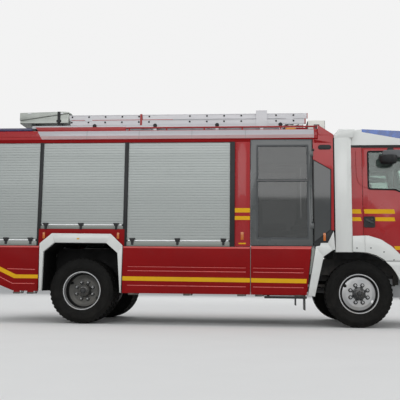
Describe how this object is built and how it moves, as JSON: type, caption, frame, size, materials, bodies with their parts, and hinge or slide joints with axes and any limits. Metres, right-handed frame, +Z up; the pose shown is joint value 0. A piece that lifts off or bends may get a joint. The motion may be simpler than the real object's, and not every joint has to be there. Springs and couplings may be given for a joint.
{
  "type": "fire engine",
  "caption": "Two-axle fire engine with tilting cab, crew cabin, roller shutter lockers, step flaps, roof ladder and light mast.",
  "frame": {"origin": "middle of the vehicle's footprint, on the ground", "axes": "+X forward, +Y to the vehicle's left, +Z up"},
  "size_m": [7.53, 3.04, 3.44],
  "materials": {
    "red_paint": "high gloss deep red paint",
    "white_paint": "gloss off-white paint",
    "chassis_black": "satin black paint",
    "engine_grey": "painted casting",
    "sheet_metal": "plain sheet",
    "shutter_silver": "satin anodised slats",
    "black_plastic": "matte black",
    "light_strip": "pale silver diffuser",
    "blue_lens": "clear blue lens",
    "ladder_metal": "brushed",
    "box_metal": "ribbed sheet",
    "dark_glass": "dark glossy panel",
    "door_grey": "dark grey gloss paint",
    "tinted_glass": "tinted",
    "clear_glass": "lightly tinted",
    "seat_fabric": "woven dark grey",
    "lamp_plastic": "amber, red and clear lamp lenses",
    "mast_metal": "anodised tube",
    "grille_black": "gloss black",
    "dash_plastic": "grained dark grey",
    "knuckle_iron": "cast, black",
    "tyre_rubber": "black tread rubber",
    "rim_silver": "silver paint"
  },
  "bodies": {
    "chassis": {"chassis_frame": "chassis_black", "front_axle": "chassis_black", "rear_axle": "chassis_black", "powertrain": "engine_grey", "front_bumper": "white_paint", "lamps": "lamp_plastic", "body_structure": "sheet_metal", "lower_lockers": "sheet_metal", "body_panels": "red_paint", "roller_shutters": "shutter_silver", "body_fittings": "black_plastic", "light_strips": "light_strip", "rear_beacons": "blue_lens", "roof_gallery": "red_paint", "ladder": "ladder_metal", "roof_box": "box_metal", "mast_base": "mast_metal", "arch_trims": "white_paint", "corner_glass": "dark_glass", "crew_seats": "seat_fabric"},
    "cab": {"cab_floor": "dash_plastic", "cab_shell": "red_paint", "cab_roof": "white_paint", "cab_fairing": "white_paint", "cab_fenders": "white_paint", "cab_grille": "grille_black", "windscreen": "clear_glass", "cab_interior": "dash_plastic", "cab_beacons": "blue_lens"},
    "roof_lid": {"roof_box_lid": "box_metal"},
    "mast_lower": {"mast_stage_1": "mast_metal"},
    "mast_upper": {"mast_stage_2": "mast_metal"},
    "mast_yoke": {"mast_head": "chassis_black"},
    "floodlights": {"mast_lamps": "light_strip"},
    "cab_door_left": {"cab_door_left": "red_paint", "cab_door_glass_left": "clear_glass", "mirrors_left": "black_plastic"},
    "crew_door_left": {"crew_door_left": "door_grey", "crew_door_glass_left": "tinted_glass"},
    "flap_rear_left": {"flap_rear_left": "red_paint"},
    "flap_long_left": {"flap_long_left": "red_paint"},
    "flap_crew_left": {"flap_crew_left": "red_paint"},
    "steering_left": {"knuckle_left": "knuckle_iron"},
    "wheel_front_left": {"tyre_front_left": "tyre_rubber", "rim_front_left": "rim_silver"},
    "wheel_rear_left": {"tyres_rear_left": "tyre_rubber", "rims_rear_left": "rim_silver"},
    "cab_door_right": {"cab_door_right": "red_paint", "cab_door_glass_right": "clear_glass", "mirrors_right": "black_plastic"},
    "crew_door_right": {"crew_door_right": "door_grey", "crew_door_glass_right": "tinted_glass"},
    "flap_rear_right": {"flap_rear_right": "red_paint"},
    "flap_long_right": {"flap_long_right": "red_paint"},
    "flap_crew_right": {"flap_crew_right": "red_paint"},
    "steering_right": {"knuckle_right": "knuckle_iron"},
    "wheel_front_right": {"tyre_front_right": "tyre_rubber", "rim_front_right": "rim_silver"},
    "wheel_rear_right": {"tyres_rear_right": "tyre_rubber", "rims_rear_right": "rim_silver"}
  },
  "joints": [
    {"name": "cab_tilt", "type": "hinge", "parent": "chassis", "child": "cab", "pos_m": [3.565, 0, 1.08], "axis": [0, 1, 0], "range_deg": [0, 50]},
    {"name": "cab_door_left_swing", "type": "hinge", "parent": "cab", "child": "cab_door_left", "pos_m": [3.418, 1.132, 2], "axis": [0, 0, -1], "range_deg": [0, 70]},
    {"name": "crew_door_left_swing", "type": "hinge", "parent": "chassis", "child": "crew_door_left", "pos_m": [1.706, 1.262, 2], "axis": [0, 0, -1], "range_deg": [0, 90]},
    {"name": "flap_rear_left_fold", "type": "hinge", "parent": "chassis", "child": "flap_rear_left", "pos_m": [-2.815, 1.256, 0.464], "axis": [-1, 0, 0], "range_deg": [0, 90]},
    {"name": "flap_long_left_fold", "type": "hinge", "parent": "chassis", "child": "flap_long_left", "pos_m": [-0.215, 1.256, 0.464], "axis": [-1, 0, 0], "range_deg": [0, 90]},
    {"name": "flap_crew_left_fold", "type": "hinge", "parent": "chassis", "child": "flap_crew_left", "pos_m": [1.185, 1.256, 0.464], "axis": [-1, 0, 0], "range_deg": [0, 90]},
    {"name": "steer_left", "type": "hinge", "parent": "chassis", "child": "steering_left", "pos_m": [2.385, 0.9, 0.506], "axis": [0, 0, 1], "range_deg": [-35, 35]},
    {"name": "wheel_front_left_spin", "type": "hinge", "parent": "steering_left", "child": "wheel_front_left", "pos_m": [2.385, 1.06, 0.506], "axis": [0, 1, 0], "continuous": true},
    {"name": "wheel_rear_left_spin", "type": "hinge", "parent": "chassis", "child": "wheel_rear_left", "pos_m": [-1.865, 1.06, 0.506], "axis": [0, 1, 0], "continuous": true},
    {"name": "cab_door_right_swing", "type": "hinge", "parent": "cab", "child": "cab_door_right", "pos_m": [3.418, -1.132, 2], "axis": [0, 0, 1], "range_deg": [0, 70]},
    {"name": "crew_door_right_swing", "type": "hinge", "parent": "chassis", "child": "crew_door_right", "pos_m": [1.706, -1.262, 2], "axis": [0, 0, 1], "range_deg": [0, 90]},
    {"name": "flap_rear_right_fold", "type": "hinge", "parent": "chassis", "child": "flap_rear_right", "pos_m": [-2.815, -1.256, 0.464], "axis": [1, 0, 0], "range_deg": [0, 90]},
    {"name": "flap_long_right_fold", "type": "hinge", "parent": "chassis", "child": "flap_long_right", "pos_m": [-0.215, -1.256, 0.464], "axis": [1, 0, 0], "range_deg": [0, 90]},
    {"name": "flap_crew_right_fold", "type": "hinge", "parent": "chassis", "child": "flap_crew_right", "pos_m": [1.185, -1.256, 0.464], "axis": [1, 0, 0], "range_deg": [0, 90]},
    {"name": "steer_right", "type": "hinge", "parent": "chassis", "child": "steering_right", "pos_m": [2.385, -0.9, 0.506], "axis": [0, 0, 1], "range_deg": [-35, 35]},
    {"name": "wheel_front_right_spin", "type": "hinge", "parent": "steering_right", "child": "wheel_front_right", "pos_m": [2.385, -1.06, 0.506], "axis": [0, 1, 0], "continuous": true},
    {"name": "wheel_rear_right_spin", "type": "hinge", "parent": "chassis", "child": "wheel_rear_right", "pos_m": [-1.865, -1.06, 0.506], "axis": [0, 1, 0], "continuous": true},
    {"name": "roof_lid_open", "type": "hinge", "parent": "chassis", "child": "roof_lid", "pos_m": [-2.243, -0.515, 3.424], "axis": [0, 1, 0], "range_deg": [0, 85]},
    {"name": "mast_lower_lift", "type": "slide", "parent": "chassis", "child": "mast_lower", "axis": [0, 0, 1], "range_m": [0, 1.35]},
    {"name": "mast_upper_lift", "type": "slide", "parent": "mast_lower", "child": "mast_upper", "axis": [0, 0, 1], "range_m": [0, 1.35]},
    {"name": "mast_pan", "type": "hinge", "parent": "mast_upper", "child": "mast_yoke", "pos_m": [1.87, 0, 3.08], "axis": [0, 0, 1], "range_deg": [-170, 170]},
    {"name": "floodlight_tilt", "type": "hinge", "parent": "mast_yoke", "child": "floodlights", "pos_m": [1.87, 0, 3.3], "axis": [0, 1, 0], "range_deg": [-90, 90]}
  ],
  "couplings": [
    {"joint": "steer_right", "follows": "steer_left", "ratio": 1},
    {"joint": "mast_upper_lift", "follows": "mast_lower_lift", "ratio": 1}
  ]
}
